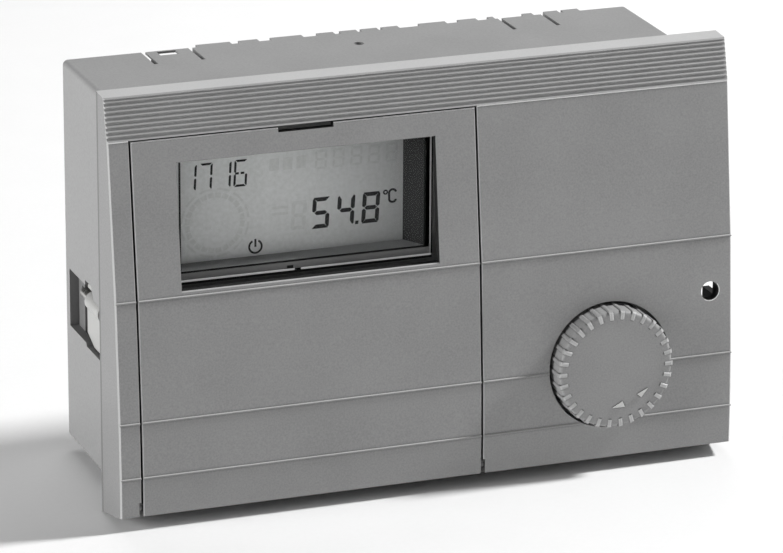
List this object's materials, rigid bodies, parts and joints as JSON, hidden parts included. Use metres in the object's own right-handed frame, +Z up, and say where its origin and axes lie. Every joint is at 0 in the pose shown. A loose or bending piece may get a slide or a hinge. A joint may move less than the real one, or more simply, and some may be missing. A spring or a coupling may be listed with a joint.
{
  "type": "programmable heating timer",
  "caption": "Panel-mounted programmable timer for a heating plant: grey front with a flip-down door over a display, setting knob, and a deep case held by side clamps.",
  "frame": {"origin": "centre of the panel cut-out, on the plane where the front frame's skirt seats on the panel", "axes": "+X to the user's right along the front, +Y back into the panel, +Z up"},
  "size_m": [0.144, 0.0594, 0.096],
  "materials": {
    "front_plastic": "fine-textured moulded plastic, mid grey",
    "housing_plastic": "moulded plastic, light grey",
    "overlay_foil": "printed foil, dark grey, no text",
    "clear_plastic": "clear polycarbonate",
    "dark_plastic": "dark moulded plastic",
    "lcd_glass": "liquid crystal glass with polariser film",
    "white_plastic": "white diffusing plastic",
    "dark_rubber": "conductive elastomer strip",
    "board_laminate": "green epoxy-glass laminate with solder resist",
    "black_plastic": "black moulded plastic",
    "bright_metal": "bright nickel plate",
    "blue_sleeve": "shrink sleeve, dark blue",
    "clear_glass": "clear glass tube",
    "light_plastic": "moulded plastic, light grey",
    "red_plastic": "dark red clear plastic",
    "contact_metal": "tin and gold plated contact metal",
    "core_steel": "laminated electrical steel",
    "winding_tape": "yellow insulating tape over copper winding",
    "relay_plastic": "moulded plastic, dark blue",
    "varistor_blue": "epoxy-coated ceramic disc",
    "socket_plastic": "moulded connector plastic, light grey",
    "screw_steel": "zinc-plated steel",
    "brass": "turned brass",
    "claw_plastic": "glass-filled plastic, off-white"
  },
  "bodies": {
    "case": {"front_frame": "front_plastic", "control_overlay": "overlay_foil", "display_window": "clear_plastic", "display_frame": "dark_plastic", "lcd_glass": "lcd_glass", "lcd_diffuser": "white_plastic", "zebra_strip_upper": "dark_rubber", "zebra_strip_lower": "dark_rubber", "display_board": "board_laminate", "microcontroller": "black_plastic", "clock_crystal": "bright_metal", "backup_capacitor": "blue_sleeve", "reed_switch": "clear_glass", "encoder_body": "black_plastic", "program_switch": "black_plastic", "mode_switch": "black_plastic", "status_led": "red_plastic", "status_light_pipe": "clear_plastic", "optical_port": "red_plastic", "board_socket": "black_plastic", "board_pins": "contact_metal", "housing": "housing_plastic", "rear_cover": "housing_plastic", "main_board": "board_laminate", "transformer_core": "core_steel", "transformer_winding": "winding_tape", "relay_1": "relay_plastic", "relay_2": "relay_plastic", "relay_3": "relay_plastic", "relay_4": "relay_plastic", "filter_capacitor": "blue_sleeve", "varistor": "varistor_blue", "fuse": "clear_glass", "fuse_clips": "bright_metal", "mains_socket": "socket_plastic", "outlet_socket": "socket_plastic", "sensor_socket": "socket_plastic", "bus_socket": "socket_plastic", "socket_contacts": "contact_metal", "case_screws": "screw_steel", "board_screws": "screw_steel"},
    "door": {"door": "front_plastic", "door_magnet": "bright_metal"},
    "knob": {"knob": "front_plastic", "knob_marks": "light_plastic", "encoder_shaft": "bright_metal"},
    "program_button": {"program_button": "light_plastic"},
    "mode_slider": {"mode_slider": "light_plastic"},
    "clamp_screw_left": {"clamp_screw_left": "screw_steel"},
    "clamp_screw_right": {"clamp_screw_right": "screw_steel"},
    "clamp_bush_left": {"clamp_bush_left": "brass"},
    "clamp_bush_right": {"clamp_bush_right": "brass"},
    "clamp_claw_left": {"clamp_claw_left": "claw_plastic"},
    "clamp_claw_right": {"clamp_claw_right": "claw_plastic"}
  },
  "joints": [
    {"name": "door_hinge", "type": "hinge", "parent": "case", "child": "door", "pos_m": [-0.02755, -0.012, -0.043], "axis": [1, 0, 0], "range_deg": [0, 100]},
    {"name": "knob_turn", "type": "hinge", "parent": "case", "child": "knob", "pos_m": [0.0424, -0.01, -0.023], "axis": [0, 1, 0], "continuous": true},
    {"name": "button_press", "type": "slide", "parent": "case", "child": "program_button", "axis": [0, 1, 0], "range_m": [0, 0.0008], "stiffness_N_per_m": 400, "springref_m": -0.001},
    {"name": "mode_slide", "type": "slide", "parent": "case", "child": "mode_slider", "axis": [1, 0, 0], "range_m": [0, 0.004]},
    {"name": "clamp_turn_left", "type": "hinge", "parent": "case", "child": "clamp_screw_left", "pos_m": [-0.065, 0, -0.0087], "axis": [0, 1, 0], "range_deg": [0, 3600]},
    {"name": "clamp_travel_left", "type": "slide", "parent": "case", "child": "clamp_bush_left", "axis": [0, -1, 0], "range_m": [0, 0.0125]},
    {"name": "claw_swing_left", "type": "hinge", "parent": "clamp_bush_left", "child": "clamp_claw_left", "pos_m": [-0.065, 0.02, -0.0087], "axis": [0, 1, 0], "range_deg": [0, 90]},
    {"name": "clamp_turn_right", "type": "hinge", "parent": "case", "child": "clamp_screw_right", "pos_m": [0.0667, 0, -0.0087], "axis": [0, 1, 0], "range_deg": [0, 3600]},
    {"name": "clamp_travel_right", "type": "slide", "parent": "case", "child": "clamp_bush_right", "axis": [0, -1, 0], "range_m": [0, 0.0125]},
    {"name": "claw_swing_right", "type": "hinge", "parent": "clamp_bush_right", "child": "clamp_claw_right", "pos_m": [0.0667, 0.02, -0.0087], "axis": [0, -1, 0], "range_deg": [0, 90]}
  ],
  "couplings": [
    {"joint": "clamp_turn_left", "follows": "clamp_travel_left", "rad_per_m": 5026.1},
    {"joint": "clamp_turn_right", "follows": "clamp_travel_right", "rad_per_m": 5026.1}
  ]
}
